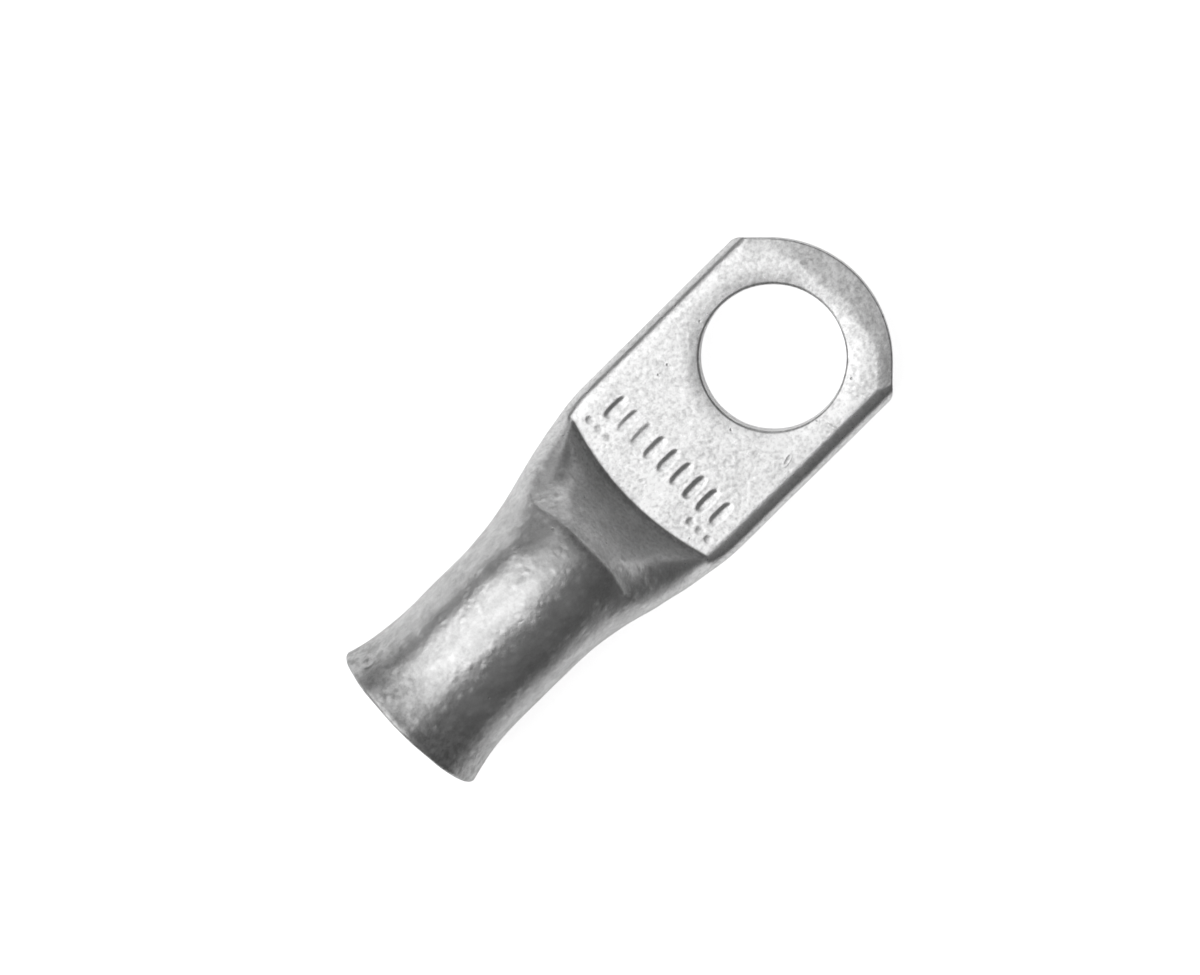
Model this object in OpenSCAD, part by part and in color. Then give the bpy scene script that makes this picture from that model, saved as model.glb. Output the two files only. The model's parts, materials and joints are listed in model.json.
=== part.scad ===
// Tubular cable lug for a crimped or soldered wire end and a stud.
// One length of tube: the wire goes into the bell mouth, the far end is pressed
// flat into a palm, and the palm is blanked at the tip and punched for the stud.
// X runs from the mouth to the tip, Z up out of the palm. The origin is the
// centre of the stud hole on the palm's underside.

/* [Wire barrel] */
// Outside diameter of the tube
barrel_od = 9; // [8.6:0.1:9.4]
// Wall thickness of the tube
wall = 1.15; // [1:0.05:1.3]
// Outside diameter at the rim of the bell mouth
mouth_od = 10.3; // [9.8:0.1:10.8]
// Length over which the outside swells towards the rim
bell_len = 5.5; // [4:0.5:7]
// Length of the funnel inside the mouth
funnel_len = 2.4; // [1.5:0.1:3]
// Rounding of the rim
rim_round = 0.3; // [0.1:0.05:0.4]

/* [Neck] */
// From the rim to where the top starts to lean down
lean_start = 9.5; // [9.2:0.1:10.2]
// How far the top has leaned at the crest, in degrees
lean_deg = 21; // [15:1:23]
// From the rim to the crest, where the top bends sharply
crest_start = 14.3; // [14.1:0.1:14.5]
// Radius of the crest
crest_r = 1.1; // [0.8:0.1:1.4]
// Slope of the pressed face, in degrees
slope_deg = 62.5; // [61:0.5:64]
// From the rim to where the tube starts to widen
widen_start = 8.8; // [8:0.1:9.5]
// From the rim to where the palm has its full width
widen_end = 20.4; // [20:0.1:21.5]
// How far the middle of the foot line bows back from its corners
foot_bow = 0.85; // [0.4:0.05:1.2]

/* [Palm] */
// Width of the palm
palm_w = 13; // [12.6:0.1:13.4]
// Thickness of the palm, two walls pressed together
palm_t = 2.2; // [2:0.05:2.4]
// Rim of the mouth to the centre of the stud hole
hole_reach = 29.3; // [28.5:0.1:31]
// Diameter of the stud hole
hole_d = 8.4; // [6.4:0.1:8.6]
// Centre of the stud hole to the tip
tip_reach = 6.75; // [6.5:0.05:7.2]
// Radius of the tip's arc
tip_r = 7.15; // [6.9:0.05:7.6]
// Depth to which the blanking die draws the tip's top edge down
tip_draw = 0.45; // [0.2:0.05:0.6]
// Depth to which the punch draws the hole's top edge down
hole_draw = 0.3; // [0.15:0.05:0.4]

/* [Hidden] */
$fn = 96;

barrel_r = barrel_od / 2;
bore_r = barrel_r - wall;
mouth_r = mouth_od / 2;
bell_power = 2.7;       // how late the bell opens, higher is later
funnel_power = 2;
bell_steps = 14;
funnel_steps = 8;
round_steps = 5;

hole_roll = 1.4;        // how far from the hole, and from the tip's edge, the top
tip_roll = 2;           // starts to round down
bore_end = 11.4;        // where the round bore gives way to the pressed cavity
crest_flat = 1.8;       // half-width of the flat at the crest, how far the crest's
crest_bow = 0.18;       // line has bowed back there, and how far before the crest
crest_lead = 3;         // both start
ridge_tight = 0.22;     // how much tighter than an ellipse the ridges are at the crest
seat_gap = 0.012;       // how far the neck's ends lie inside the faces they meet
slit = 0.1;             // height left between the walls where the cavity ends
edge_deg = 36;          // share of a quarter section that becomes the flat
angle_step = 6;         // degrees between the points of a neck section
belly_drop = 0.18;      // how much lower than halfway the neck is widest
palm_flat = (palm_w - palm_t) / 2;
palm_x = widen_end - hole_reach;
tip_x = tip_reach - tip_r;

// Radii of the lean and of the crest, and where they end. An inset of one wall
// gives those of the cavity.
function lean_radius(inset) = (crest_start - lean_start) / sin(lean_deg) - inset;
function crest_radius(inset) = max(crest_r - inset, 0.15);
function lean_end(inset) = lean_start + lean_radius(inset) * sin(lean_deg);
function slope_start(inset) =
    lean_end(inset) + crest_radius(inset) * (sin(slope_deg) - sin(lean_deg));

function mix(a, b, t) = a + (b - a) * t;
function clamp01(t) = min(1, max(0, t));
function ease(t) = let (c = clamp01(t)) c * c * (3 - 2 * c);
function span(s, from, to) = (s - from) / (to - from);

// Height of the roof at a distance s from the rim: level, leaning, round the
// crest, down the slope and along the palm
function arc_drop(run, radius, angle) =
    radius * cos(angle) - sqrt(pow(radius, 2) - pow(run + radius * sin(angle), 2));
function bent(s, inset) =
    barrel_od - inset
    - arc_drop(min(max(s, lean_start), lean_end(inset)) - lean_start, lean_radius(inset), 0)
    - arc_drop(min(max(s, lean_end(inset)), slope_start(inset)) - lean_end(inset),
               crest_radius(inset), lean_deg)
    - max(0, s - slope_start(inset)) * tan(slope_deg);
function roof(s, inset) = max(inset > 0 ? inset + slit : palm_t, bent(s, inset));

// Where the slope meets a level
function slope_meets(level, inset) =
    slope_start(inset) + (bent(slope_start(inset), inset) - level) / tan(slope_deg);
foot = slope_meets(palm_t, 0);
cavity_end = slope_meets(wall + slit, wall);

// Half of the width at s, and the height at which the section is widest
function half_width(s, inset) =
    mix(barrel_r, palm_w / 2, ease(span(s, widen_start, widen_end))) - inset;
function belly(s, inset) =
    let (t = clamp01(span(s, widen_start, foot)))
    inset + (roof(s, inset) - inset) * (0.5 - belly_drop * pow(sin(180 * t), 2));

// Half-width of the flat on top and underneath, and how flat they are:
// 0 is the round tube, 1 is pressed flat
function top_flat(s, inset) =
    min(mix(mix((barrel_r - inset) * sin(edge_deg), crest_flat - inset / 2,
                ease(span(s, crest_start - crest_lead, slope_start(0)))),
            palm_flat, pow(clamp01(span(s, slope_start(0), foot)), 2)),
        half_width(s, inset) - 0.15);
function under_flat(s, inset) =
    min(mix((barrel_r - inset) * sin(edge_deg), palm_flat, ease(span(s, widen_start, foot))),
        half_width(s, inset) - 0.15);
function top_press(s) = ease(span(s, crest_start - 0.25, crest_start + 1.35));
function top_ridge(s) = 0.55 - ridge_tight * (1 - ease(span(s, crest_start + 0.6, foot)));
function under_press(s) = ease(span(s, widen_start, foot));

// A quarter of a section, at an angle a from its flat. The flat part is an arc
// that loses its crown as it is pressed. The side is a circle's that turns into
// a Bezier curve, level at the flat and upright at the fold, whose first handle
// is ridge times the side: 0.55 makes an ellipse. The crown is the one that lets
// the two parts meet without an edge.
function quarter(a, half, flat, rise, press, ridge) =
    let (
        round_share = 1 - press,
        side = half - flat,
        side_speed = round_share * cos(edge_deg) / (1 - sin(edge_deg))
            + press * 3 * ridge * 180 / (PI * (90 - edge_deg)),
        side_slope = round_share * tan(edge_deg) / (side * side_speed),
        flat_slope = (1 + cos(edge_deg)) / (flat * cos(edge_deg)),
        crown = rise * side_slope / (flat_slope + side_slope),
        t = (a - edge_deg) / (90 - edge_deg),
        fold_out = 3 * pow(1 - t, 2) * t * ridge + 3 * (1 - t) * pow(t, 2) + pow(t, 3),
        fold_up = pow(1 - t, 3) + 3 * pow(1 - t, 2) * t + 3 * (1 - t) * pow(t, 2) * 0.55
    )
    a <= edge_deg
    ? [flat * sin(a) / sin(edge_deg), rise - crown * (1 - cos(a)) / (1 - cos(edge_deg))]
    : [flat + side * mix((sin(a) - sin(edge_deg)) / (1 - sin(edge_deg)), fold_out, press),
       (rise - crown) * mix(cos(a) / cos(edge_deg), fold_up, press)];

// How far a point of the top moves towards the tip. The foot line bows forward
// at its corners and the crest bows back, and both fade round the folded side.
function bow(s, y, a) =
    let (
        at_foot = ease(span(s, slope_start(0) - 0.6, foot)) * (1 - ease(span(s, foot, widen_end))),
        at_crest = ease(span(s, crest_start - crest_lead, crest_start)) * (1 - ease(span(s, crest_start + 0.5, foot)))
    )
    (foot_bow * pow(min(1, y / palm_flat), 2) * at_foot
     - crest_bow * pow(min(2, y / crest_flat), 2) * at_crest)
    * (1 - pow(sin(90 * clamp01(span(a, edge_deg, 90))), 4));

// One point of the section at s: phi runs from the top, round the +Y side
function neck_point(s, phi, inset, shrink) =
    let (
        upper = cos(phi) >= 0,
        from_top = phi <= 180 ? phi : 360 - phi,
        a = upper ? from_top : 180 - from_top,
        half = half_width(s, inset),
        mid = belly(s, inset),
        q = upper
            ? quarter(a, half, top_flat(s, inset), roof(s, inset) - mid, top_press(s), top_ridge(s))
            : quarter(a, half, under_flat(s, inset), mid - inset, under_press(s), 0.55),
        y = q[0] - shrink * q[0] / half,
        h = q[1] - shrink * q[1] / (mid - inset)
    )
    [s + (upper && inset == 0 ? bow(s, y, a) : 0),
     phi <= 180 ? y : -y, upper ? mid + h : mid - h];

function neck_ring(s, inset, shrink) =
    [for (phi = [0 : angle_step : 359]) neck_point(s, phi, inset, shrink)];

function middle(ring) = [for (axis = [0 : 2]) mean([for (point = ring) point[axis]])];
function mean(list) = list * [for (value = list) 1] / len(list);

// A closed skin over a list of rings with the same number of points each
module skin(rings) {
    count = len(rings[0]);
    last = len(rings) - 1;
    first_hub = (last + 1) * count;
    points = concat([for (ring = rings) each ring], [middle(rings[0]), middle(rings[last])]);
    sides = [for (j = [0 : last - 1], i = [0 : count - 1])
        let (a = j * count + i, b = j * count + (i + 1) % count)
        each [[a, b, b + count], [a, b + count, a + count]]];
    caps = [for (i = [0 : count - 1])
        let (next = (i + 1) % count)
        each [[next, i, first_hub], [last * count + i, last * count + next, first_hub + 1]]];
    polyhedron(points, concat(sides, caps), convexity = 6);
}

// From the round tube to the flat palm
module neck() {
    stations = concat(
        [widen_start],
        [for (i = [0 : 5]) mix(lean_start, crest_start, i / 6)],
        [for (i = [0 : 5])
            crest_start + crest_r * (sin(mix(lean_deg, slope_deg, i / 6)) - sin(lean_deg))],
        [for (i = [0 : 8]) mix(slope_start(0), foot, i / 8)],
        [for (i = [1 : 4]) mix(foot, widen_end, i / 4)]);
    skin([for (s = stations)
        neck_ring(s, 0, s == widen_start || s == widen_end ? seat_gap : 0)]);
}

// The hollow inside the neck, which closes to a slit where the walls meet
module neck_cavity() {
    stations = concat(
        [for (i = [0 : 2]) mix(bore_end, lean_end(wall), i / 3)],
        [for (i = [0 : 1]) mix(lean_end(wall), slope_start(wall), i / 2)],
        [for (i = [0 : 8]) mix(slope_start(wall), cavity_end, i / 8)]);
    skin([for (s = stations) neck_ring(s, wall, s == bore_end ? seat_gap : 0)]);
}

function outside_r(s) =
    barrel_r + (mouth_r - barrel_r)
    * pow(clamp01(1 - span(s, rim_round, bell_len)), bell_power);
function inside_r(s) =
    bore_r + (mouth_r - wall - bore_r)
    * pow(clamp01(1 - span(s, rim_round, funnel_len)), funnel_power);

// The round tube with its bell mouth, its rim at 0 and its axis along Z
module tube() {
    rotate_extrude()
        polygon(concat(
            [[0, 0]],
            [for (i = [0 : round_steps]) let (a = 90 * i / round_steps)
                [mouth_r - rim_round * (1 - sin(a)), rim_round * (1 - cos(a))]],
            [for (i = [1 : bell_steps]) let (s = mix(rim_round, bell_len, i / bell_steps))
                [outside_r(s), s]],
            [[barrel_r, widen_start], [0, widen_start]]));
}

// What the wire goes into: the rounded rim, the funnel and the straight bore
module tube_bore() {
    rim_r = mouth_r - wall;
    rotate_extrude()
        polygon(concat(
            [[0, -1], [rim_r + rim_round, -1]],
            [for (i = [0 : round_steps]) let (a = 90 * i / round_steps)
                [rim_r + rim_round * (1 - sin(a)), rim_round * (1 - cos(a))]],
            [for (i = [1 : funnel_steps]) let (s = mix(rim_round, funnel_len, i / funnel_steps))
                [inside_r(s), s]],
            [[bore_r, bore_end], [0, bore_end]]));
}

// Cross-section of the palm, half-round where the tube's wall folds over
module palm_section() {
    translate([-palm_flat, 0]) square([2 * palm_flat, palm_t]);
    for (side = [-1, 1])
        translate([side * palm_flat, palm_t / 2]) circle(d = palm_t);
}

// Outline that the blanking die leaves: an arc, and a 45 degree cut across each
// corner that runs into it without an edge
module palm_outline() {
    tangent = tip_r * sin(45);
    reach = tip_x + tangent;
    shoulder = reach - (palm_w / 2 - tangent);
    polygon([[palm_x, -palm_w], [palm_x, palm_w], [shoulder - palm_w / 2, palm_w],
             [reach, tangent], [reach, -tangent], [shoulder - palm_w / 2, -palm_w]]);
    intersection() {
        translate([tip_x, 0]) circle(r = tip_r);
        translate([tip_x, -tangent]) square([tip_r, 2 * tangent]);
    }
}

// What a die takes off a top edge, as a profile that ends at the edge at 0. The
// surface that it leaves is a parabola, level where it starts.
module roll_profile(depth, length) {
    polygon(concat(
        [for (i = [0 : round_steps]) let (t = i / round_steps)
            [length * (t - 1), palm_t - depth * t * t]],
        [[1, palm_t - depth], [1, palm_t + 1], [-length, palm_t + 1]]));
}

// The rounded top edge of the tip, round the arc and along the two cuts
module tip_edge() {
    translate([tip_x, 0, 0]) {
        rotate([0, 0, -45]) rotate_extrude(angle = 90)
            translate([tip_r, 0]) roll_profile(tip_draw, tip_roll);
        for (side = [0, 1])
            mirror([0, side, 0]) rotate([0, 0, -45]) translate([tip_r, 0, 0])
                rotate([90, 0, 0]) linear_extrude(palm_w / 2)
                    roll_profile(tip_draw, tip_roll);
    }
}

// The stud hole, its top edge drawn down by the punch
module stud_hole() {
    hole_r = hole_d / 2;
    rotate_extrude()
        polygon(concat(
            [[0, -1], [hole_r, -1]],
            [for (i = [0 : round_steps]) let (t = i / round_steps)
                [hole_r + hole_roll * t, palm_t - hole_draw * pow(1 - t, 2)]],
            [[hole_r + hole_roll, palm_t + 1], [0, palm_t + 1]]));
}

module palm() {
    difference() {
        intersection() {
            translate([palm_x, 0, 0])
                rotate([90, 0, 90]) linear_extrude(tip_reach - palm_x + 1) palm_section();
            translate([0, 0, -1]) linear_extrude(palm_t + 2) palm_outline();
        }
        tip_edge();
        stud_hole();
    }
}

// The whole lug, one piece of tube
module lug() {
    color("silver")
    difference() {
        union() {
            translate([-hole_reach, 0, barrel_r]) rotate([0, 90, 0]) tube();
            translate([-hole_reach, 0, 0]) neck();
            palm();
        }
        translate([-hole_reach, 0, barrel_r]) rotate([0, 90, 0]) tube_bore();
        translate([-hole_reach, 0, 0]) neck_cavity();
    }
}

lug();
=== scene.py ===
# %% [markdown]
# # A tinned copper cable lug
#
# The real thing is one length of copper tube. One end is belled open for a wire, the other is
# pressed flat between two dies, cut to an outline and punched for a stud, and the whole is then
# dipped or plated with tin. There is nothing to assemble, so there is one piece to model, and
# all the work goes into its form and its finish.

# %% Load the measured model
import json
import math

import bmesh
import bpy
import numpy as np
from mathutils import Matrix, Vector


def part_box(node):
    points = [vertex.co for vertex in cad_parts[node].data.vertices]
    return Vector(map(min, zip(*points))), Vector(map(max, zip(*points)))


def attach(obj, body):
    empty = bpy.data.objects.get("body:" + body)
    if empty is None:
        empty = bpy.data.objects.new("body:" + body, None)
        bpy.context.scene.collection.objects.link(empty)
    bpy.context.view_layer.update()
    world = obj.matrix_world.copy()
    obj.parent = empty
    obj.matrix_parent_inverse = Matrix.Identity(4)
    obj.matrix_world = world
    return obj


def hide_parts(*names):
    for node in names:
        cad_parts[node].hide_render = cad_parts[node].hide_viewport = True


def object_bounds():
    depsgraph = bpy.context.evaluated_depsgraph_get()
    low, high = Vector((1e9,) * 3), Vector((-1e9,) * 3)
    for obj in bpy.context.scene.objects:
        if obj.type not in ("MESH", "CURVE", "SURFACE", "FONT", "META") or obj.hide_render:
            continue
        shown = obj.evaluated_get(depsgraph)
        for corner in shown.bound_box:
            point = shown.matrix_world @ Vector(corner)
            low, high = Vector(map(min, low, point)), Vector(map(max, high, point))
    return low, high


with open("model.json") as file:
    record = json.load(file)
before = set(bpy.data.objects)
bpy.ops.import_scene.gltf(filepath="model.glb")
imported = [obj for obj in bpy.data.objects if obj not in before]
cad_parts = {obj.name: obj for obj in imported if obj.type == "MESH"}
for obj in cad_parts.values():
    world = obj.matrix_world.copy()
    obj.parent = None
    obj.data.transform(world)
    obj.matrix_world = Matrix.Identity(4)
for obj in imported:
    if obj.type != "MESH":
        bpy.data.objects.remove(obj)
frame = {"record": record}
cad_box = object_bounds()
MM = 0.001
mounts = {mount["name"]: mount for mount in frame["record"]["mounts"]}

# %% [markdown]
# ## Driving dimensions
#
# What can be measured on the model is measured: the rim, the tip, the width, the two bores and
# the palm's thickness. The rest are the tool settings that shape the tube, in millimetres:
# where the press starts to bend it, how steep its slope is, and how far a punch draws an edge
# down. Distances called s run from the rim of the mouth along the tube.

# %% Dimensions, in millimetres
# Measured: the rim, the tip, half of the palm's width, the radii and the thicknesses.
low, high = (np.array(corner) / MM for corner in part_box("lug"))
RIM_X, TIP_X = low[0], high[0]
HALF_PALM = (high[1] - low[1]) / 2
MOUTH_R = (high[2] - low[2]) / 2
BARREL_R = (high[2] + low[2]) / 2
BORE_R = mounts["wire_barrel"]["dims"]["r_mm"]
HOLE_R = mounts["stud_hole"]["dims"]["r_mm"]
PALM_T = mounts["palm_top"]["pos_m"][2] / MM
WALL = BARREL_R - BORE_R
PALM_FLAT = HALF_PALM - PALM_T / 2

# The mouth: how far the bell and the funnel reach and how sharply they flare, the rim's rounding.
BELL_LEN, BELL_POWER = 5.5, 2.7
FUNNEL_LEN, FUNNEL_POWER = 2.4, 2.0
RIM_ROUND = 0.2

# The top: the gentle lean, the crest's place, arc, flat and bow, and the slope past it.
LEAN_START, LEAN = 9.5, math.radians(21)
CREST_S, CREST_R, CREST_FLAT, CREST_BOW = 14.3, 1.1, 1.8, 0.18
SLOPE = math.radians(62.5)

# The sides: where the tube widens, the foot line's bow, how much tighter its ridges are than an
# ellipse, how far the widest line sinks, and the slit that is left between the pressed walls.
WIDEN_START, WIDEN_END = 8.8, 20.4
FOOT_BOW, RIDGE_TIGHT = 0.85, 0.22
BELLY_DROP, SLIT = 0.18, 0.02

# The palm's end: the tip's arc, what the punch draws down, what the blanking die draws down at
# the arc and at the cuts, and how the edges are broken.
TIP_ARC_R = 7.15
HOLE_DRAW, HOLE_ROLL, HOLE_UNEVEN, HOLE_ROUND = 0.13, 1.3, 0.3, 0.17
TIP_TILT, TIP_ROLL, CUT_ROLL, BEVEL_EASE = math.radians(9.5), 2.0, 0.9, 0.4
EDGE_ROUND, UNDER_ROUND = 0.1, 0.08
SEAM_S = -RIM_X - HOLE_R - 1.6  # where the sections give way to a plate round the hole
print(f"rim {RIM_X:.2f}, tip {TIP_X:.2f}, wall {WALL:.2f} mm")
print(f"palm {2 * HALF_PALM:.2f} wide, {PALM_T:.2f} mm thick")

# %% [markdown]
# ## The tube as sections along its length
#
# Press a round tube flat and every section stays a closed loop of about the same length. So the
# outside, the rim, the bore and the cavity are one surface of two parameters: a station along
# the wall and an angle round it. Each section is four quarters. A quarter has a part that
# becomes flat and a part that becomes the folded side, and one number, the press, takes it from
# a circle to a flat strip with a half-round edge.

# %% How the section changes along the tube
def ease(t):
    """Goes from 0 to 1 with level ends: three t squared less two t cubed."""
    t = np.clip(t, 0, 1)
    return t * t * (3 - 2 * t)


def mix(a, b, t):
    """Straight blend from a to b."""
    return a + (b - a) * t


def span(s, start, end):
    """How far s has gone from start to end."""
    return (s - start) / (end - start)


def soft_max(a, b, width):
    """The larger of two values, with the corner between them rounded over the width."""
    return (a + b + np.sqrt((a - b) ** 2 + width ** 2)) / 2


def arc(distance, radius, start, end):
    """Drop along an arc that turns from one slope to another, level distance by level distance."""
    along = np.clip(distance + radius * math.sin(start), 0, radius * math.sin(end))
    return radius * math.cos(start) - np.sqrt(np.maximum(radius ** 2 - along ** 2, 0))


def bends(inset):
    """Level lengths and radii of the gentle lean and of the tight crest."""
    lean_r = (CREST_S - LEAN_START) / math.sin(LEAN) - inset
    crest_r = np.maximum(CREST_R - inset, 0.15)
    lean_len = lean_r * math.sin(LEAN)
    return lean_r, lean_len, crest_r, crest_r * (math.sin(SLOPE) - math.sin(LEAN))


def slope_start(inset):
    """Where the crest ends and the straight slope starts."""
    lean_r, lean_len, crest_r, crest_len = bends(inset)
    return LEAN_START + lean_len + crest_len


def roof(s, inset, sharp=0.08):
    """Height of the top: level, a gentle lean, the crest's tight arc, the slope, the palm."""
    lean_r, lean_len, crest_r, crest_len = bends(inset)
    level = 2 * BARREL_R - inset
    leaned = level - arc(s - LEAN_START, lean_r, 0, LEAN)
    crest = leaned - arc(s - LEAN_START - lean_len, crest_r, LEAN, SLOPE)
    slope = crest - (s - slope_start(inset)) * math.tan(SLOPE)
    floor = np.where(inset > 0, inset + SLIT, PALM_T)
    return np.where(s < LEAN_START + lean_len, leaned,
                    np.where(s < slope_start(inset), crest, soft_max(slope, floor, sharp)))


FOOT = float(slope_start(0) + (roof(slope_start(0), 0.0) - PALM_T) / math.tan(SLOPE))
CAVITY_END = float(slope_start(WALL)
                   + (roof(slope_start(WALL), WALL) - WALL - SLIT) / math.tan(SLOPE))
print(f"the palm starts {FOOT:.2f} mm from the rim, the cavity ends at {CAVITY_END:.2f} mm")


# %% One quarter of a section
EDGE = math.radians(36)  # the angle at which a quarter's flat ends and its side starts
ELLIPSE = 0.55           # the Bezier handle that makes a quarter of an ellipse


def quarter(a, half, flat, rise, press, ridge):
    """Distance out and height of a quarter at angle a from its flat.

    Up to EDGE it is an arc that loses its crown as it is pressed. Past EDGE it is a circle's
    side that turns into a Bezier curve, level at the flat and upright at the fold, whose first
    handle is ridge times the side: ELLIPSE makes an ellipse, less a tighter ridge. The crown
    is the one at which both have one tangent.
    """
    sin_e, cos_e = math.sin(EDGE), math.cos(EDGE)
    side = half - flat
    side_speed = (1 - press) * cos_e / (1 - sin_e) + press * 3 * ridge / (math.pi / 2 - EDGE)
    side_slope = (1 - press) * math.tan(EDGE) / (side * side_speed)
    flat_slope = (1 + cos_e) / (flat * cos_e)
    crown = rise * side_slope / (flat_slope + side_slope)
    t = np.clip((a - EDGE) / (math.pi / 2 - EDGE), 0, 1)
    fold_out = 3 * (1 - t) ** 2 * t * ridge + 3 * (1 - t) * t ** 2 + t ** 3
    fold_up = (1 - t) ** 3 + 3 * (1 - t) ** 2 * t + 3 * (1 - t) * t ** 2 * ELLIPSE
    on_flat = a <= EDGE
    out = np.where(on_flat, flat * np.sin(a) / sin_e,
                   flat + side * mix((np.sin(a) - sin_e) / (1 - sin_e), fold_out, press))
    up = np.where(on_flat, rise - crown * (1 - np.cos(a)) / (1 - cos_e),
                  (rise - crown) * mix(np.cos(a) / cos_e, fold_up, press))
    return out, up


half_width, half_height = quarter(math.pi / 2, HALF_PALM, PALM_FLAT, PALM_T / 2, 1, ELLIPSE)
print(f"a pressed quarter ends {half_width:.2f} mm out at height {half_height:.2f}")


# %% A whole section
def section(s, phi, inset, swell):
    """Points of the wall at distance s and angle phi, where 0 is the top and + is towards +Y.

    inset is 0 outside and one wall inside, swell is what the bell or the funnel adds to the
    radius. The top's points move towards the tip near the foot, which bows the foot line.
    """
    top = roof(s, inset) + swell
    bottom = inset - swell
    half = mix(BARREL_R, HALF_PALM, ease(span(s, WIDEN_START, WIDEN_END))) - inset + swell
    dip = BELLY_DROP * np.sin(math.pi * np.clip(span(s, WIDEN_START, FOOT), 0, 1)) ** 2
    middle = bottom + (top - bottom) * (0.5 - dip)
    round_flat = (BARREL_R - inset + swell) * math.sin(EDGE)
    widest = half - 0.15
    crest_flat = mix(round_flat, CREST_FLAT - inset / 2, ease(span(s, CREST_S - 3, slope_start(0))))
    top_flat = np.minimum(
        mix(crest_flat, PALM_FLAT, np.clip(span(s, slope_start(0), FOOT), 0, 1) ** 2), widest)
    under_flat = np.minimum(mix(round_flat, PALM_FLAT, ease(span(s, WIDEN_START, FOOT))), widest)
    near_ridge = 1 - ease(span(s, CREST_S + 0.6, FOOT))
    upper = np.abs(phi) <= math.pi / 2
    a = np.where(upper, np.abs(phi), math.pi - np.abs(phi))
    out, up = quarter(a, half, np.where(upper, top_flat, under_flat),
                      np.where(upper, top - middle, middle - bottom),
                      np.where(upper, ease(span(s, CREST_S - 0.25, CREST_S + 1.35)),
                               ease(span(s, WIDEN_START, FOOT))),
                      np.where(upper, ELLIPSE - RIDGE_TIGHT * near_ridge, ELLIPSE))
    rising = ease(span(s, slope_start(0) - 0.6, FOOT)) * (1 - ease(span(s, FOOT, WIDEN_END)))
    round_the_side = np.clip(span(a, EDGE, math.pi / 2), 0, 1)
    fade = np.where(upper & (inset == 0), 1 - np.sin(round_the_side * math.pi / 2) ** 4, 0)
    near_crest = ease(span(s, CREST_S - 3, CREST_S)) * (1 - ease(span(s, CREST_S + 0.5, FOOT)))
    bow = fade * (FOOT_BOW * np.clip(out / PALM_FLAT, 0, 1) ** 2 * rising
                  - CREST_BOW * np.clip(out / CREST_FLAT, 0, 2) ** 2 * near_crest)
    return np.stack([RIM_X + s + bow, np.sign(phi) * out,
                     middle + np.where(upper, up, -up)], axis=-1)


# %% Angles round the section, closest together on the top's flat
def quarter_angles(flat_steps, side_steps):
    """Even steps over the flat's share of a quarter, then over its side."""
    return np.concatenate([np.linspace(0, EDGE, flat_steps + 1)[:-1],
                           np.linspace(EDGE, math.pi / 2, side_steps + 1)])


half_a = np.concatenate([quarter_angles(64, 12), math.pi - quarter_angles(14, 10)[-2::-1]])
ring_a = np.concatenate([-half_a[:0:-1], half_a[:-1]])
print(len(ring_a), "points round the tube")


# %% Stations along the wall: cavity, bore, funnel, rim, bell, barrel, neck, palm
def stations():
    """Distance, inset and swell at each station, from the slit round the rim to the palm."""
    bell = MOUTH_R - BARREL_R
    funnel = MOUTH_R - WALL - BORE_R
    turn = np.linspace(0, math.pi / 2, 7)
    cavity = np.concatenate([np.linspace(CAVITY_END, slope_start(WALL), 12)[:-1],
                             np.linspace(slope_start(WALL), LEAN_START, 10)[:-1],
                             np.linspace(LEAN_START, FUNNEL_LEN, 10)[:-1]])
    inside = np.linspace(FUNNEL_LEN, RIM_ROUND, 9)[:-1]
    outside = np.concatenate([np.linspace(RIM_ROUND, BELL_LEN, 30)[1:],
                              np.linspace(BELL_LEN, LEAN_START, 22)[1:],
                              np.linspace(LEAN_START, CREST_S - 0.4, 24)[1:],
                              np.linspace(CREST_S - 0.4, FOOT, 58)[1:],
                              np.linspace(FOOT, SEAM_S, 66)[1:]])
    opening = np.clip(1 - span(inside, RIM_ROUND, FUNNEL_LEN), 0, 1) ** FUNNEL_POWER
    swelling = np.clip(1 - span(outside, RIM_ROUND, BELL_LEN), 0, 1) ** BELL_POWER
    lip = RIM_ROUND * (1 - np.sin(turn))
    s = np.concatenate([cavity, inside, RIM_ROUND * (1 - np.cos(turn[::-1])),
                        RIM_ROUND * (1 - np.cos(turn)), outside])
    inset = np.concatenate([np.full(len(cavity) + len(inside) + len(turn), WALL),
                            np.zeros(len(turn) + len(outside))])
    swell = np.concatenate([np.zeros(len(cavity)), funnel * opening, funnel + lip[::-1],
                            bell - lip, bell * swelling])
    return s, inset, swell


s_at, inset_at, swell_at = stations()
tube = section(s_at[:, None], ring_a[None, :], inset_at[:, None], swell_at[:, None])
slit_end = np.broadcast_to(tube[0].mean(axis=0), (1, len(ring_a), 3))  # closes the cavity
tube = np.concatenate([slit_end, tube])
print("tube grid", tube.shape, "height", tube[..., 2].min().round(2), tube[..., 2].max().round(2))

# %% [markdown]
# ## The end of the palm
#
# Round the stud hole the sections give way to a plate with an outline: a blanking die cuts the
# tip to an arc with two 45 degree cuts, and a punch goes through for the stud. Both tools draw
# the soft metal's top edge down before it shears, so the top is level only away from them. A
# boolean cut would leave sharp edges and long thin faces there. Instead the top and the
# underside are heights over a plan, and the plan is a grid of straight lines from the hole to
# the outline, closest together at both ends, where the surface turns fastest.

# %% Heights of the plate over its plan
TIP_CENTRE = TIP_X - TIP_ARC_R


def tip_distance(x, y):
    """How far a point lies inside the tip's arc or the two cuts that run off it at 45 degrees."""
    angle = np.clip(np.arctan2(y, x - TIP_CENTRE), -math.pi / 4, math.pi / 4)
    return TIP_ARC_R - ((x - TIP_CENTRE) * np.cos(angle) + y * np.sin(angle))


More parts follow.
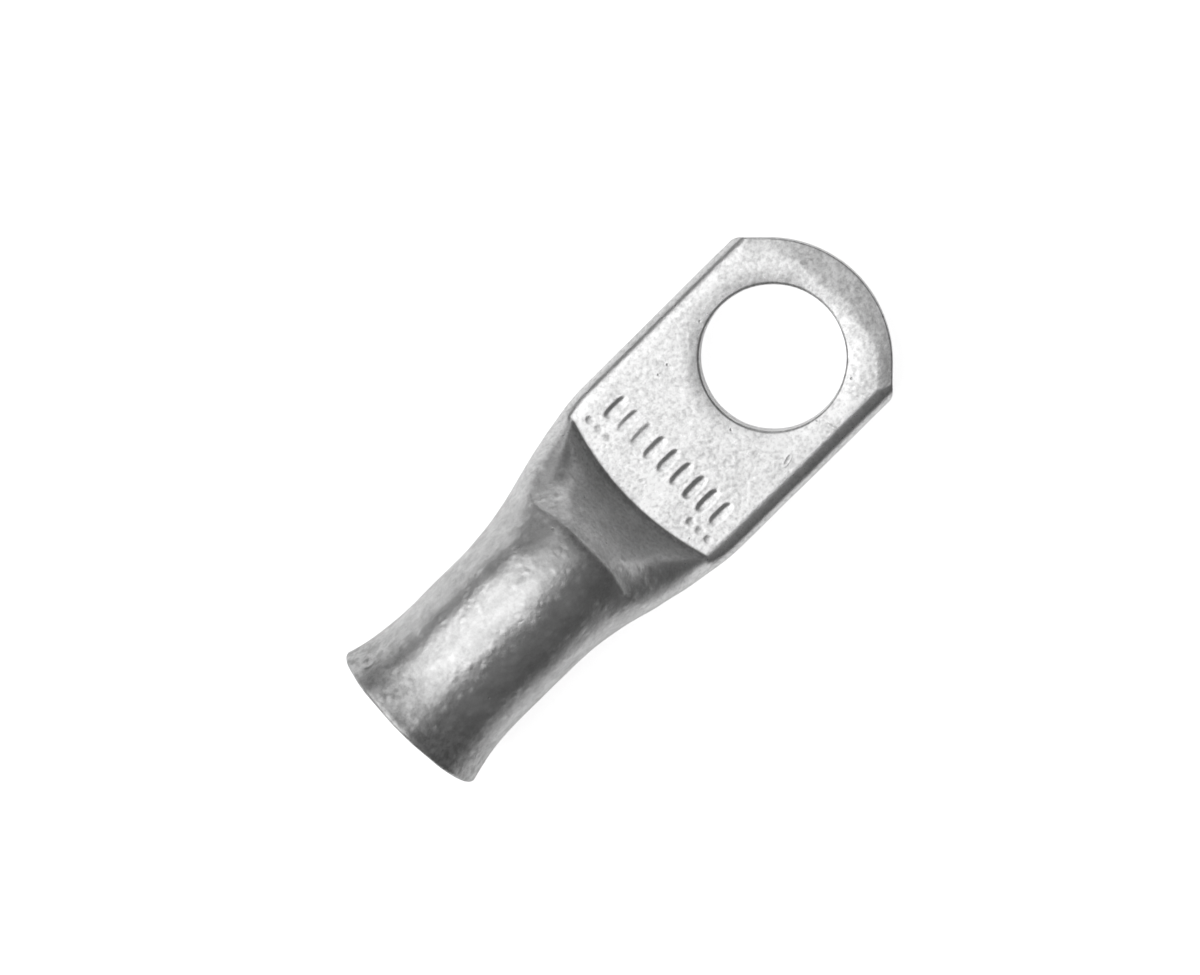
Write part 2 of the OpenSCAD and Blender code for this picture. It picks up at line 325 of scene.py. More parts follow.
def broken_edge(distance, width):
    """A quarter circle's drop: the width at the edge, nothing past the width."""
    inner = np.clip(1 - distance / width, 0, 1)
    return width * (1 - np.sqrt(1 - inner ** 2))


def tip_drop(x, y):
    """What the blanking die draws down: a bevel inside the edge, widest in the middle of the arc
    and narrowest at the cuts, eased where it starts and broken at the edge."""
    distance = tip_distance(x, y)
    angle = np.clip(np.arctan2(y, x - TIP_CENTRE), -math.pi / 4, math.pi / 4)
    past = mix(CUT_ROLL, TIP_ROLL, np.cos(2 * angle) ** 2) - distance
    eased = (past + np.sqrt(past ** 2 + BEVEL_EASE ** 2) - BEVEL_EASE) / 2
    return math.tan(TIP_TILT) * np.maximum(eased, 0) + broken_edge(distance, EDGE_ROUND)


def hole_drop(x, y):
    """What the punch draws down: a parabola from the hole's edge outwards, least at the sides
    that face the palm's edges, and broken at the edge."""
    distance = np.hypot(x, y) - HOLE_R
    depth = HOLE_DRAW * (1 - HOLE_UNEVEN * (y / np.hypot(x, y)) ** 2)
    return depth * np.clip(1 - distance / HOLE_ROLL, 0, 1) ** 2 + broken_edge(distance, HOLE_ROUND)


def half_round(y):
    """Half of the thickness left at a distance y from the middle line."""
    past = np.clip(np.abs(y) - PALM_FLAT, 0, PALM_T / 2)
    return np.sqrt((PALM_T / 2) ** 2 - past ** 2)


def plate_top(x, y):
    """The folded side or the drawn tip, whichever is lower, less what the punch draws down."""
    rolled = PALM_T - tip_drop(x, y)
    return np.minimum(PALM_T / 2 + half_round(y), rolled) - hole_drop(x, y)


def plate_under(x, y):
    """The folded side or the slightly broken edge of the cut, whichever is higher."""
    return np.maximum(PALM_T / 2 - half_round(y), broken_edge(tip_distance(x, y), UNDER_ROUND))


print(f"drawn down {hole_drop(HOLE_R, 0):.2f} mm at the hole, {tip_drop(TIP_X, 0):.2f} at the tip")

# %% Outline of the plate
on_top = np.abs(ring_a) <= math.pi / 2 + 1e-9
seam_top, seam_under = tube[-1, on_top][::-1], tube[-1, ~on_top]
CORNER_R = 0.8
SIDE_STEPS, CORNER_STEPS, CUT_STEPS, TIP_STEPS = 44, 8, 24, 72


def outline():
    """The loop round the plate: across the seam, along a side, round a corner of CORNER_R, down
    a cut, round the tip and back, with the number of the point where the first corner starts."""
    tangent = TIP_ARC_R * math.sqrt(0.5)
    corner = TIP_CENTRE + 2 * tangent - HALF_PALM
    before = corner - CORNER_R * math.tan(math.pi / 8)
    side_x = np.linspace(RIM_X + SEAM_S, before, SIDE_STEPS + 1)[1:]
    side = np.stack([side_x, np.full(SIDE_STEPS, -HALF_PALM)], axis=-1)
    turn = np.linspace(-math.pi / 2, -math.pi / 4, CORNER_STEPS + 1)[1:]
    bend = np.stack([before + CORNER_R * np.cos(turn),
                     CORNER_R - HALF_PALM + CORNER_R * np.sin(turn)], axis=-1)
    even = np.linspace(0, 1, CUT_STEPS + 1)[1:]
    cut_y = mix(bend[-1, 1], -tangent, (ease(even) + even) / 2)
    cut = np.concatenate([bend, np.stack([corner + HALF_PALM + cut_y, cut_y], axis=-1)])
    angle = np.linspace(-math.pi / 4, math.pi / 4, TIP_STEPS + 1)[1:-1]
    tip = np.stack([TIP_CENTRE + TIP_ARC_R * np.cos(angle), TIP_ARC_R * np.sin(angle)], axis=-1)
    half = np.concatenate([side, cut])
    back = half[::-1] * [1, -1]
    return (np.concatenate([seam_top[:, :2], half, tip, back[:-1]]),
            len(seam_top) + SIDE_STEPS - 1)


loop, corner_at = outline()
bore_angle = np.arctan2(loop[:, 1], loop[:, 0])
bore_ring = HOLE_R * np.stack([np.cos(bore_angle), np.sin(bore_angle)], axis=-1)
print("outline of", len(loop), "points, the first corner starts at point", corner_at)


# %% Plan of the plate, and its two faces
def plan(rim, steps):
    """Straight lines from the hole to the rim, with a cosine spacing along them."""
    along = (1 - np.cos(np.linspace(0, math.pi, steps + 1))) / 2
    return mix(bore_ring[None], rim[None], along[:, None, None])


edge_under = np.concatenate([seam_top[:1], seam_under, seam_top[-1:]])
nearest = np.abs(seam_top[:, None, 1] - edge_under[None, :, 1]).argmin(axis=1)
under_loop = loop.copy()
under_loop[:len(seam_top)] = edge_under[nearest, :2]
top_plan, under_plan = plan(loop, 56), plan(under_loop, 16)
plate_over = np.dstack([top_plan, plate_top(top_plan[..., 0], top_plan[..., 1])])
plate_below = np.dstack([under_plan, plate_under(under_plan[..., 0], under_plan[..., 1])])
plate_over[-1, :len(seam_top)] = seam_top
plate_below[-1, :len(seam_top)] = edge_under[nearest]
print("plate grids", plate_over.shape, plate_below.shape)

# %% [markdown]
# The cut faces close the plate: the wall of the hole and the sheared edge round the tip. Two
# walls of the tube lie on each other there, and the shear leaves their joint as a fine line.
# That line is a real groove in the mesh, with the rows of points gathered round it.

# %% Cut faces of the plate
SEAM_DEPTH, SEAM_WIDTH = 0.05, 0.05
LEVELS = np.array([0, 0.12, 0.3, 0.42, 0.46, 0.48, 0.5, 0.52, 0.54, 0.58, 0.7, 0.88, 1])


def cut_face(upper, lower, outward):
    """A strip from an upper edge to a lower one, with a groove at half the palm's thickness."""
    face = mix(upper[None], lower[None], LEVELS[:, None, None])
    tall = np.clip((upper[:, 2] - lower[:, 2]) / PALM_T, 0, 1)[None, :]
    groove = SEAM_DEPTH * tall * np.exp(-((face[..., 2] - PALM_T / 2) / SEAM_WIDTH) ** 2)
    groove[[0, -1]] = 0
    face[..., :2] -= groove[..., None] * outward[None]
    return face


tip_ids = np.arange(corner_at, len(loop) - SIDE_STEPS + 2)
tip_angle = np.clip(np.arctan2(loop[tip_ids, 1], loop[tip_ids, 0] - TIP_CENTRE),
                    -math.pi / 4, math.pi / 4)
tip_out = np.stack([np.cos(tip_angle), np.sin(tip_angle)], axis=-1)
tip_face = cut_face(plate_over[-1, tip_ids], plate_below[-1, tip_ids], tip_out)
hole_face = cut_face(plate_over[0], plate_below[0], -bore_ring / HOLE_R)
print("cut faces", tip_face.shape, hole_face.shape)


# %% Stitch the grids into one closed skin
def grid_faces(shape, first, closed, flip):
    """Four-sided faces over a grid of points, numbered from first."""
    rows, columns = shape[:2]
    index = first + np.arange(rows * columns).reshape(rows, columns)
    if closed:
        index = np.concatenate([index, index[:, :1]], axis=1)
    faces = np.stack([index[:-1, :-1], index[1:, :-1], index[1:, 1:], index[:-1, 1:]], axis=-1)
    faces = faces.reshape(-1, 4)
    return faces[:, ::-1] if flip else faces


def stitched(name, grids):
    """One mesh object from several grids, with the points that they share made one."""
    points, faces, first = [], [], 0
    for grid, closed, flip in grids:
        points.append(grid.reshape(-1, 3) * MM)
        faces.append(grid_faces(grid.shape, first, closed, flip))
        first += grid.shape[0] * grid.shape[1]
    mesh = bpy.data.meshes.new(name)
    mesh.from_pydata(np.concatenate(points), [], np.concatenate(faces).tolist())
    work = bmesh.new()
    work.from_mesh(mesh)
    bmesh.ops.remove_doubles(work, verts=work.verts, dist=2e-7)
    bmesh.ops.dissolve_degenerate(work, edges=work.edges, dist=1e-8)
    bmesh.ops.recalc_face_normals(work, faces=work.faces)
    open_edges = sum(1 for edge in work.edges if not edge.is_manifold)
    work.to_mesh(mesh)
    work.free()
    mesh.shade_smooth()
    piece = bpy.data.objects.new(name, mesh)
    bpy.context.collection.objects.link(piece)
    triangles = len(mesh.loops) - 2 * len(mesh.polygons)
    print(name, len(mesh.vertices), "points,", triangles, "triangles,", open_edges, "open edges")
    return piece


lug = stitched("tinned_lug", [(tube, True, False), (plate_over, True, False),
                              (plate_below, True, True), (tip_face, False, False),
                              (hole_face, True, False)])

# %% [markdown]
# ## What the tools and the tin leave on it
#
# The pressed tube isn't a perfect surface. It is slightly lumpy all over, because soft copper
# gives a little differently everywhere and the molten tin ran over it. On a real lug a punch
# then strikes the maker's signs into the palm. This one names nobody, so the place holds a
# plain row of bars and two short rows of dots, struck as real signs are: soft walls, a faint
# burr round them, and deeper at one end of the row than at the other. Both are worked out as
# heights along the surface's normals, as arrays over all points, so they catch the light from
# every side, which a painted pattern doesn't.

# %% Points and normals of the finished skin
def points_of(mesh):
    """Points in millimetres and their normals, as arrays."""
    points = np.empty(len(mesh.vertices) * 3)
    normals = np.empty(len(mesh.vertices) * 3)
    mesh.vertices.foreach_get("co", points)
    mesh.vertex_normals.foreach_get("vector", normals)
    return points.reshape(-1, 3) / MM, normals.reshape(-1, 3)


skin, skin_normal = points_of(lug.data)
skin_s = skin[:, 0] - RIM_X
print("mean distance from the rim", skin_s.mean().round(2), "mm")


# %% Lumps: a sum of waves with seeded directions and lengths
def lumps(points, count, shortest, longest, seed):
    """Height with a standard deviation of 1: the sum of count cosines, each with its own way
    and length, over the root of half their number."""
    draw = np.random.default_rng(seed)
    way = draw.normal(size=(3, count))
    way /= np.linalg.norm(way, axis=0)
    length = draw.uniform(shortest, longest, count)
    phase = draw.uniform(0, 2 * math.pi, count)
    return np.cos(2 * math.pi * points @ (way / length) + phase).sum(axis=1) / math.sqrt(count / 2)


LUMP_BARREL, LUMP_PALM = 0.009, 0.004
on_palm = ease(span(skin_s, FOOT - 1.5, FOOT + 0.5))
uneven = mix(LUMP_BARREL, LUMP_PALM, on_palm) * lumps(
    skin, count=28, shortest=1.6, longest=4.5, seed=11)
print("lumps up to", np.abs(uneven).max().round(3), "mm")


# %% Struck bars and dots
BAR_COUNT, BAR_PITCH = 9, 1.075
BAR_X, BAR_HALF = -8.45, (0.88, 0.31)
DOT_X, DOT_R, DOT_START, DOT_PITCH = -10.0, 0.29, 3.4, 0.72
MARK_DEPTH, DOT_SHARE, BURR = 0.088, 0.5, 0.006
bar_centres = np.stack([np.full(BAR_COUNT, BAR_X),
                        (np.arange(BAR_COUNT) - (BAR_COUNT - 1) / 2) * BAR_PITCH], axis=-1)
dot_centres = np.array([[DOT_X, side * (DOT_START + DOT_PITCH * i)]
                        for side in (-1, 1) for i in range(3)])


def in_bars(points):
    """0 in the middle of the nearest bar and 1 at its edge: along to the fourth, across squared."""
    along, across = np.moveaxis((points[:, None, :2] - bar_centres[None]) / BAR_HALF, -1, 0)
    return (along ** 4 + across ** 2).min(axis=1)


def in_dots(points):
    """0 in the middle of the nearest dot and 1 at its edge, as a square."""
    return (((points[:, None, :2] - dot_centres[None]) / DOT_R) ** 2).sum(axis=-1).min(axis=1)


def struck(share):
    """Depth of a mark: eased from its edge to its middle, with a burr just outside it."""
    return -MARK_DEPTH * ease(1 - share) + BURR * np.exp(-((share - 1.5) / 0.5) ** 2)


mark_share = np.full(len(skin), 9.0)
marked = (skin_normal[:, 2] > 0.9) & (skin[:, 0] > RIM_X + FOOT) & (skin[:, 0] < RIM_X + SEAM_S)
mark_share[marked] = np.minimum(in_bars(skin[marked]), in_dots(skin[marked]))
is_dot = skin[:, 0] < (BAR_X - BAR_HALF[0] + DOT_X) / 2
strike = 0.8 + 0.2 * lumps(skin, count=9, shortest=3.0, longest=8.0, seed=5) - 0.02 * skin[:, 1]
marks = struck(mark_share) * strike * np.where(is_dot, DOT_SHARE, 1)
print(int((marks < -0.02).sum()), "points struck down, deepest", marks.min().round(3), "mm")

# %% Move the points along their normals
UNDERSIDE_SHARE = 0.3  # the flat bed of the press leaves the underside smoother
height = (uneven + marks) * np.where(skin_normal[:, 2] < -0.9, UNDERSIDE_SHARE, 1)
moved = np.clip(skin + skin_normal * height[:, None], low, high)
lug.data.vertices.foreach_set("co", (moved * MM).ravel())
lug.data.update()
print("largest move", np.abs(height).max().round(3), "mm")

# %% [markdown]
# ## How the finish changes over the surface
#
# The tin isn't the same everywhere. The barrel froze as it was dipped and stays frosty with
# small blobs, the dies burnished the slope and the palm, and the mouth and the tip are dulled by
# handling. Shade is painted into the colour where it falls: along the foot of the slope, along
# the end of the barrel's top and at the crest's corners, round the hole, in the marks, and in a
# patch at the mouth where the dark band in the tin widens. Each of these is one number per
# point, kept with the mesh as an attribute, so the material can follow the form exactly and
# needs no picture.

# %% Where the tin is frosty, where it is dull, and a painted shade at the mouth
def keep(name, values):
    """One number per point, clipped to 0..1 and kept in the mesh."""
    layer = lug.data.attributes.new(name, "FLOAT", "POINT")
    layer.data.foreach_set("value", np.clip(values, 0, 1).astype(np.float32))
    print(name, "mean", values.mean().round(3), "most", values.max().round(3))


def near(distance, reach):
    """1 at no distance, falling away as a bell curve over the reach."""
    return np.exp(-(distance / reach) ** 2)


side_y = np.abs(skin[:, 1])
faces_up = skin_normal[:, 2] > 0
palm_part = ease(span(skin[:, 0], RIM_X + FOOT - 0.3, RIM_X + FOOT + 0.3))
frost = 1 - 0.4 * ease(span(skin_s, CREST_S - 1.2, CREST_S + 0.8)) - 0.35 * on_palm
mouth = 1 - ease(span(skin_s, 0.8, 4.6))
tip_dull = ease(span(skin[:, 0], 2.2, 6.0)) * palm_part
# Painted shade: a darker patch at the mouth's edge, where the dark band in the tin widens as the
# flare turns. It goes into the same attribute as the dulling of the mouth and the tip.
mouth_shade_patch = near(np.hypot((skin[:, 0] + 28.0) / 1.6, (skin[:, 1] - 3.0) / 0.8), 1.0) * faces_up
keep("frost", frost)
keep("dull", np.maximum(mouth + 0.9 * mouth_shade_patch, 0.35 * tip_dull))


# %% Where shade is painted into the colour
def past_corner(x, y, radius):
    """Distance past a rounded corner's outline, below 0 inside: x and y run from its two sides."""
    x, y = x + radius, y + radius
    return np.hypot(np.maximum(x, 0), np.maximum(y, 0)) + np.minimum(np.maximum(x, y), 0) - radius


END_S, END_HALF, END_R = CREST_S + 0.1, 2.75, 1.1  # where the barrel's top ends, and its corners
# Painted shade: a dark line along the foot of the slope, a dark line round the end of the barrel's
# top, dark patches at the crest's corners, a dark ring round the hole and darker marks.
foot_line = RIM_X + FOOT + FOOT_BOW * np.clip(side_y / PALM_FLAT, 0, 1) ** 2
on_flat = 1 - ease(span(side_y, PALM_FLAT - 0.3, PALM_FLAT + 0.3))
in_foot = near(skin[:, 0] - foot_line + 0.1, 0.16) * faces_up * on_flat
at_end = (near(past_corner(skin_s - END_S, side_y - END_HALF, END_R), 0.46) * faces_up
          * ease(span(skin_s, END_S - 2.8, END_S - 0.8)))
in_corners = near(np.hypot((skin_s - CREST_S + 0.6) / 0.95, (side_y - 2.4) / 0.75), 1.0) * faces_up
hole_rim = (near(np.hypot(skin[:, 0], skin[:, 1]) - HOLE_R, 0.12) * palm_part
            * (skin_normal[:, 2] > 0.2))
in_mark = np.where(is_dot, 0.42, 0.14) * ease(1 - mark_share)
keep("grime", np.maximum.reduce([0.6 * in_foot, 0.78 * at_end, 0.5 * in_corners,
                                 0.35 * hole_rim, in_mark]))

# %% [markdown]
# ## The tin
#
# Tin plate is a plain metal: no coat, no colour of its own but a bright neutral grey. What makes
# it look real is how it changes from place to place, at the right scale: a fine mottle of a few
# tenths of a millimetre, blobs half a millimetre wide on the barrel, a few pits, dings with a
# raised ring, scratches, and painted shade in the corners, pits and dings. Each effect is a node
# group with named sockets. They all read Object coordinates, scaled to millimetres, so nothing
# slides when the lug is turned or its mesh is changed.

# %% Helpers for node trees
def put(tree, kind, values=None, **settings):
    """A new node with its settings made and its sockets filled by value or by link."""
    node = tree.nodes.new(kind)
    for title, value in settings.items():
        setattr(node, title, value)
    for title, value in (values or {}).items():
        if isinstance(value, bpy.types.NodeSocket):
            tree.links.new(value, node.inputs[title])
        else:
            node.inputs[title].default_value = value
    return node


def calc(tree, operation, *values):
    """A Math node's result."""
    return put(tree, "ShaderNodeMath", dict(enumerate(values)), operation=operation).outputs[0]


def vector_calc(tree, operation, *values):
    """A Vector Math node, with its two possible results."""
    return put(tree, "ShaderNodeVectorMath", dict(enumerate(values)), operation=operation)


def smooth_step(tree, value, start, end, low_value=0.0, high_value=1.0):
    """Goes smoothly from the low value to the high one as the input goes from start to end."""
    node = put(tree, "ShaderNodeMapRange", interpolation_type="SMOOTHSTEP")
    tree.links.new(value, node.inputs["Value"])
    for title, number in (("From Min", start), ("From Max", end),
                          ("To Min", low_value), ("To Max", high_value)):
        node.inputs[title].default_value = number
    return node.outputs["Result"]


def new_group(name, inputs, outputs):
    """An empty node group with named sockets, its input node and its output node."""
    group = bpy.data.node_groups.new(name, "ShaderNodeTree")
    for title, kind, value in inputs:
        socket = group.interface.new_socket(title, in_out="INPUT", socket_type="NodeSocket" + kind)
        socket.default_value = value
    for title, kind in outputs:
        group.interface.new_socket(title, in_out="OUTPUT", socket_type="NodeSocket" + kind)
    return group, group.nodes.new("NodeGroupInput").outputs, group.nodes.new("NodeGroupOutput")


def noise(tree, place, per_mm, detail, roughness):
    """A Noise Texture's value, 0.5 on average."""
    return put(tree, "ShaderNodeTexNoise", {"Vector": place, "Scale": per_mm, "Detail": detail,
                                            "Roughness": roughness}).outputs["Fac"]


# %% Node group: the tin's mottle and its frozen blobs
FINE, BROAD, BLOBS = (4.0, 3.0, 0.7), (0.55, 2.0, 0.5), (1.05, 2.0, 0.5)  # as noise() takes them
BEADS_PER_MM = 1.5


def tin_surface_group():
    """Mottle for the colour, 1 on average, roughness, and height in mm.

    Fine grain shows most on burnished tin, and blobs, with a bead frozen in the middle of each
    Voronoi cell, on frosty tin. The blobs and the beads are lighter in the colour where they stand
    higher, partly random tone and partly a painted glint on their tops.
    """
    group, given, result = new_group(
        "tin_surface", [("Place", "Vector", (0, 0, 0)), ("Frost", "Float", 0.0)],
        [("Mottle", "Float"), ("Roughness", "Float"), ("Height", "Float")])
    place, frost = given["Place"], given["Frost"]
    fine, broad, blobs = (calc(group, "SUBTRACT", noise(group, place, *pattern), 0.5)
                          for pattern in (FINE, BROAD, BLOBS))
    cells = put(group, "ShaderNodeTexVoronoi", {"Vector": place, "Scale": BEADS_PER_MM})
    beads = smooth_step(group, cells.outputs["Distance"], 0.5, 0.05)

    fine_tone = calc(group, "MULTIPLY", fine, calc(group, "MULTIPLY_ADD", frost, -1.0, 1.45))
    # The blobs and beads are lighter where they stand higher: partly random tone, partly a painted
    # glint.
    blob_tone_and_glint = calc(group, "MULTIPLY", calc(group, "MULTIPLY_ADD", beads, 0.2, blobs),
                     calc(group, "MULTIPLY", frost, 0.60))
    broad_tone = calc(group, "MULTIPLY", broad, calc(group, "MULTIPLY_ADD", frost, -0.22, 0.42))
    mottle = calc(group, "ADD", calc(group, "ADD", fine_tone, blob_tone_and_glint),
                  calc(group, "ADD", broad_tone, 1.0))
    rough = calc(group, "MULTIPLY_ADD", fine, -0.25,
                 calc(group, "MULTIPLY_ADD", frost, 0.05, 0.30))

    blob_most = calc(group, "MULTIPLY_ADD", calc(group, "POWER", frost, 2.0), 0.027, 0.012)
    blob_high = calc(group, "MULTIPLY", calc(group, "MULTIPLY_ADD", beads, 0.35, blobs), blob_most)
    height = calc(group, "MULTIPLY_ADD", fine, 0.010, blob_high)
    for title, socket in (("Mottle", mottle), ("Roughness", rough), ("Height", height)):
        group.links.new(socket, result.inputs[title])
    return group


TIN_SURFACE = tin_surface_group()
print(TIN_SURFACE.name, len(TIN_SURFACE.nodes), "nodes")


# %% Node group: a few pits
def pits_group():
    """Round pits at the middles of Voronoi cells, in the share of cells that Share gives."""
    group, given, result = new_group(
        "pits", [("Place", "Vector", (0, 0, 0)), ("Per mm", "Float", 1.0),
                 ("Radius", "Float", 0.08), ("Share", "Float", 0.2)], [("Mask", "Float")])
    cells = put(group, "ShaderNodeTexVoronoi", {"Vector": given["Place"],
                                                "Scale": given["Per mm"], "Randomness": 1.0})
    chosen = calc(group, "LESS_THAN",
                  put(group, "ShaderNodeSeparateColor",
                      {"Color": cells.outputs["Color"]}).outputs["Red"], given["Share"])
    reach = calc(group, "MULTIPLY", given["Radius"], given["Per mm"])
    inner = calc(group, "DIVIDE", cells.outputs["Distance"], reach)
    dent = smooth_step(group, inner, 1.2, 0.3)
    group.links.new(calc(group, "MULTIPLY", dent, chosen), result.inputs["Mask"])
    return group


PITS = pits_group()
print(PITS.name, len(PITS.nodes), "nodes")


# %% Node group: a ding or a scratch
def ding_group():
    """A dent with a raised ring round it, turned about Z and stretched to its size in mm."""
    group, given, result = new_group(
        "ding", [("Place", "Vector", (0, 0, 0)), ("Centre", "Vector", (0, 0, 0)),
                 ("Turn", "Float", 0.0), ("Size", "Vector", (1, 1, 1))],
        [("Height", "Float"), ("Mask", "Float")])
    from_centre = vector_calc(group, "SUBTRACT", given["Place"], given["Centre"]).outputs[0]
    turned = put(group, "ShaderNodeVectorRotate",
                 {"Vector": from_centre, "Angle": given["Turn"]}, rotation_type="Z_AXIS").outputs[0]
    distance = vector_calc(group, "LENGTH",
                           vector_calc(group, "DIVIDE", turned, given["Size"]).outputs[0])
    away = distance.outputs["Value"]
    dent = smooth_step(group, away, 0.0, 0.9, -1.0, 0.0)
    ring = calc(group, "MULTIPLY", smooth_step(group, away, 0.55, 0.95),
                smooth_step(group, away, 1.5, 1.0))
    group.links.new(calc(group, "MULTIPLY_ADD", ring, 0.45, dent), result.inputs["Height"])
    group.links.new(smooth_step(group, away, 0.8, 0.2), result.inputs["Mask"])
    return group


DING = ding_group()
print(DING.name, len(DING.nodes), "nodes")

# %% Where the dings and scratches are
DINGS = [  # x, y, turn in degrees, size along and across in mm, depth in mm
    (-28.1, 4.0, 20, 0.42, 0.34, 0.035),
    (-14.0, 3.2, 0, 0.50, 0.42, 0.009),
    (-3.5, -4.8, -15, 0.42, 0.15, 0.009),
    (-0.2, -5.3, 75, 0.70, 0.10, 0.010),
    (-10.4, 0.3, 30, 0.26, 0.18, 0.007),
    (5.2, 2.6, 50, 0.36, 0.20, 0.012),
    (-18.2, 1.2, 10, 0.50, 0.25, 0.015),
]


def on_surface(x, y):
    """The point of the top surface that is nearest to x and y, in mm."""
    away = np.hypot(skin[:, 0] - x, skin[:, 1] - y) + np.where(skin_normal[:, 2] > 0.1, 0, 99)
    return skin[away.argmin()]


ding_centres = [on_surface(x, y) for x, y, *size in DINGS]
print("dings at", [centre.round(2).tolist() for centre in ding_centres])


# %% The material
PITS_PER_MM, PIT_R, PIT_SHARE, PIT_DEPTH = 1.3, 0.09, 0.16, 0.018
DARKEST, BRIGHTEST = 0.12, 0.97


def tin_material():
    """A rough metal whose colour, roughness and height come from the groups above."""
    material = bpy.data.materials.new("tinned_copper")
    material.use_nodes = True
    tree = material.node_tree
    shader = tree.nodes["Principled BSDF"]
    shader.inputs["Metallic"].default_value = 1.0
    place = vector_calc(tree, "SCALE", put(tree, "ShaderNodeTexCoord").outputs["Object"])
    place.inputs["Scale"].default_value = 1 / MM
    place = place.outputs[0]
    frost, dull, grime = (put(tree, "ShaderNodeAttribute", attribute_name=name).outputs["Fac"]
                          for name in ("frost", "dull", "grime"))
    tin = put(tree, "ShaderNodeGroup", node_tree=TIN_SURFACE)
    tree.links.new(place, tin.inputs["Place"])
    tree.links.new(frost, tin.inputs["Frost"])
    pits = put(tree, "ShaderNodeGroup", node_tree=PITS)
    tree.links.new(place, pits.inputs["Place"])
    for title, value in (("Per mm", PITS_PER_MM), ("Radius", PIT_R), ("Share", PIT_SHARE)):
        pits.inputs[title].default_value = value

    # Relief in mm, and the painted shade that its dents and pits get.
    relief = calc(tree, "MULTIPLY_ADD", pits.outputs["Mask"], -PIT_DEPTH, tin.outputs["Height"])
    painted_shade_total = grime
    for centre, (x, y, turn, along, across, depth) in zip(ding_centres, DINGS):
        ding = put(tree, "ShaderNodeGroup", node_tree=DING)
        tree.links.new(place, ding.inputs["Place"])
        ding.inputs["Centre"].default_value = centre
        ding.inputs["Turn"].default_value = math.radians(turn)
        ding.inputs["Size"].default_value = (along, across, along)
        relief = calc(tree, "MULTIPLY_ADD", ding.outputs["Height"], depth, relief)
        # Painted shade in each ding.
        painted_shade_total = calc(tree, "MULTIPLY_ADD", ding.outputs["Mask"], 0.35, painted_shade_total)
    broken = noise(tree, place, 2.2, 3.0, 0.6)
    painted_shade_total = calc(tree, "MULTIPLY", painted_shade_total, smooth_step(tree, broken, 0.25, 0.6, 0.35, 1.0))
    # Painted shade in the pits.
    painted_shade_total = calc(tree, "MULTIPLY_ADD", pits.outputs["Mask"], 0.35, painted_shade_total)

    # Grey level: frosty tin is darker than burnished tin, handling and a painted shade at the mouth
    # take more off, and the painted shade in creases, corners, dents, pits and marks darkens it
    # further.
    dull_and_shade_broken = calc(tree, "MULTIPLY", dull, smooth_step(tree, broken, 0.38, 0.66, 0.4, 1.7))
    tone = calc(tree, "MULTIPLY", tin.outputs["Mottle"],
                calc(tree, "MULTIPLY_ADD", frost, -0.20, 0.94))
    tone = calc(tree, "MULTIPLY", tone, calc(tree, "MULTIPLY_ADD", dull_and_shade_broken, -0.22, 1.0))
    tone = calc(tree, "MULTIPLY", tone, calc(tree, "MULTIPLY_ADD", painted_shade_total, -0.6, 1.0))
    tone = calc(tree, "MINIMUM", calc(tree, "MAXIMUM", tone, DARKEST), BRIGHTEST)
    rough = calc(tree, "MULTIPLY_ADD", dull, 0.05, tin.outputs["Roughness"])
    rough = calc(tree, "MULTIPLY_ADD", painted_shade_total, 0.2, rough)
    bump = put(tree, "ShaderNodeBump", {"Height": relief, "Distance": MM, "Strength": 1.0})
    tree.links.new(tone, shader.inputs["Base Color"])
    tree.links.new(rough, shader.inputs["Roughness"])
    tree.links.new(bump.outputs["Normal"], shader.inputs["Normal"])
    return material


lug.data.materials.append(tin_material())
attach(lug, "root")
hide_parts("lug")
print("material", lug.data.materials[0].name, len(lug.data.materials[0].node_tree.nodes), "nodes")

# %% [markdown]
# ## The camera
#
# The lug lies across the frame from the lower left to the upper right, seen from almost straight
# above with its mouth turned slightly away. A long lens from 230 mm keeps the outline nearly
# parallel. The camera is built from three turns about a pivot in the middle of the lug, because
# pitch, roll and spin can then be set one at a time.

# %% Camera
PIVOT = Vector((-11.3, 0, 3.0)) * MM
PITCH, ROLL, SPIN = (math.radians(a) for a in (-6.31, 0.65, 44.75))
VIEW_DISTANCE = 230 * MM
OFF_RIGHT, OFF_UP = -1.846 * MM, 0.554 * MM
FRAME_WIDTH = 68.815 * MM

axes = (Matrix.Rotation(SPIN, 3, "Z") @ Matrix.Rotation(ROLL, 3, "X")
        @ Matrix.Rotation(PITCH, 3, "Y")).transposed()
camera_data = bpy.data.cameras.new("camera")
camera = bpy.data.objects.new("camera", camera_data)
bpy.context.collection.objects.link(camera)
place = PIVOT + axes @ Vector((OFF_RIGHT, OFF_UP, VIEW_DISTANCE))
camera.matrix_world = Matrix.Translation(place) @ axes.to_4x4()
camera_data.lens = camera_data.sensor_width * VIEW_DISTANCE / FRAME_WIDTH
camera_data.clip_start = 0.01
bpy.context.scene.camera = camera
print("camera", [round(v, 4) for v in place], "lens", round(camera_data.lens, 1))

# %% [markdown]
# ## Light and floor
#
# Metal shows what is round it, so the light is what the lug reflects. A broad softbox overhead
# makes the bright band on the barrel and the even palm. It stops close to the lug on one side,
# so the dark room shows there as a grey band along the barrel, and it fades towards the tip's
# end, in strips, so the slope turns gently dark. Two small softboxes light the mouth and the far
# shoulder. Below, the pale floor shows in the barrel's sides, and it is dark beyond the lug on
# the grey band's side. Floor and room are white where the camera looks at them, which lights
# nothing.

